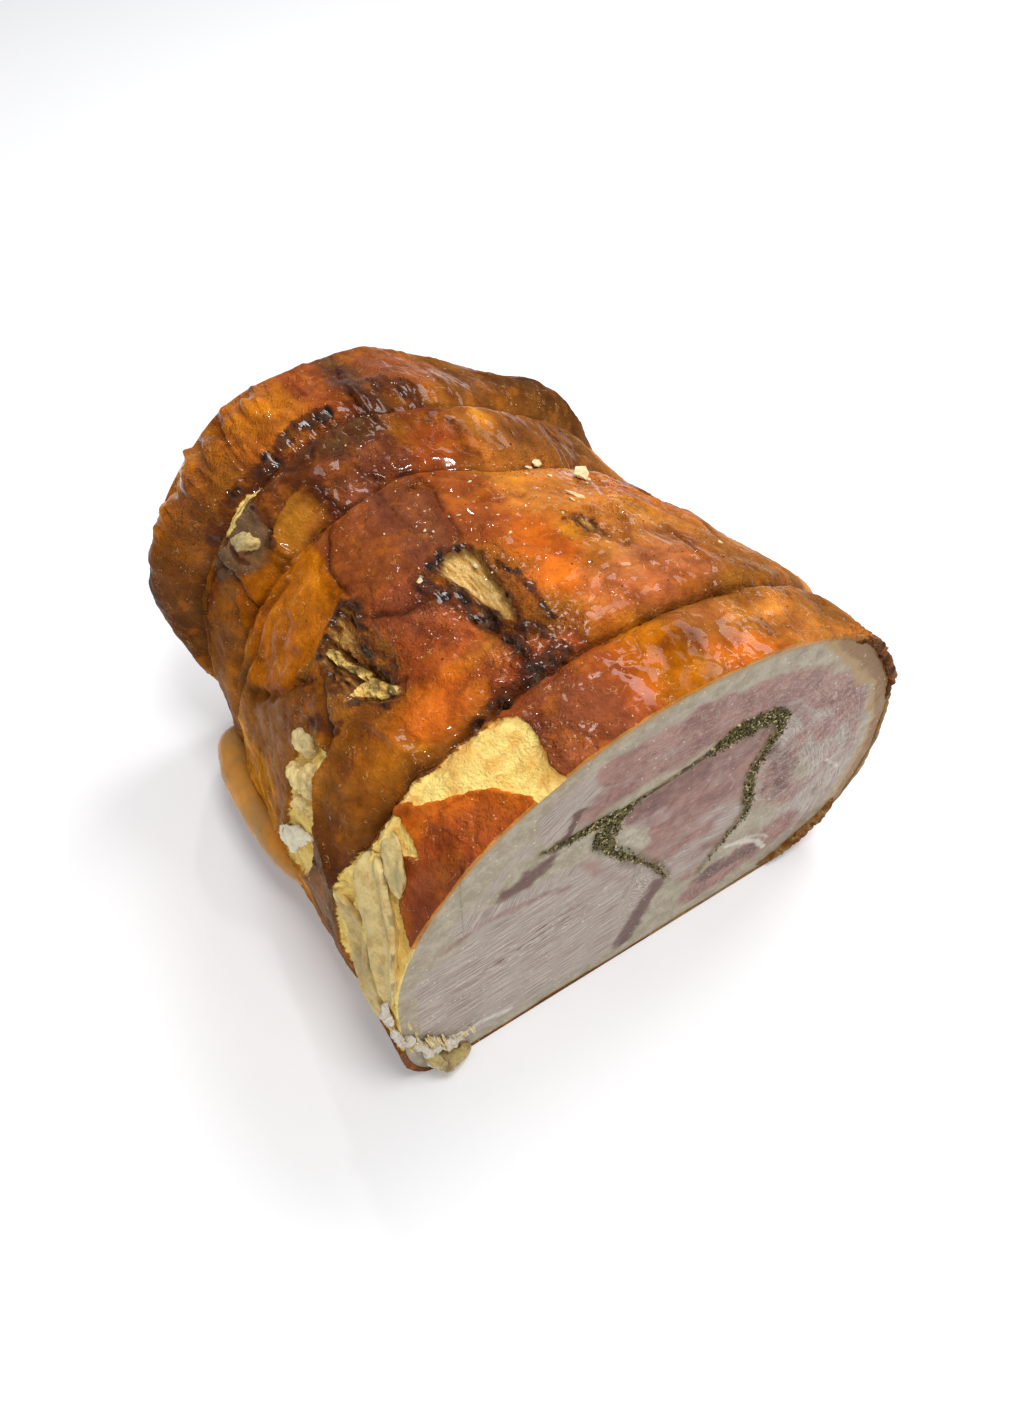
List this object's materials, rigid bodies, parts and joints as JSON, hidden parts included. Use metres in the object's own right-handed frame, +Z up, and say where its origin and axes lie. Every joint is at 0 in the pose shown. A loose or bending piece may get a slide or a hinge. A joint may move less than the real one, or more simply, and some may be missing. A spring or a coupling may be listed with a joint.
{
  "type": "porchetta",
  "caption": "Half of a boned and rolled roast pork joint with browned rind, string grooves and a herb seam in its flat cut face.",
  "frame": {"origin": "middle of the underside, on the surface that the joint rests on", "axes": "+X across the roll, to the right seen from the cut face; +Y along the roll, from the cut face to the roast end; +Z up"},
  "size_m": [0.2396, 0.236, 0.1687],
  "materials": {
    "rind": "browned roast pork rind, wet with fat, amber to dark red-brown",
    "meat": "cut cooked pork belly, marbled lean and pale fat, moist",
    "loin": "cut cooked pork loin, fine grained, moist",
    "herbs": "chopped cooked herbs and pepper",
    "fat": "bare soft roast fat, cream to yellow",
    "crumbs": "dry cream flakes of fat"
  },
  "bodies": {
    "root": {"belly_wrap": "rind", "herb_filling": "herbs", "loin_core": "loin"}
  },
  "joints": []
}
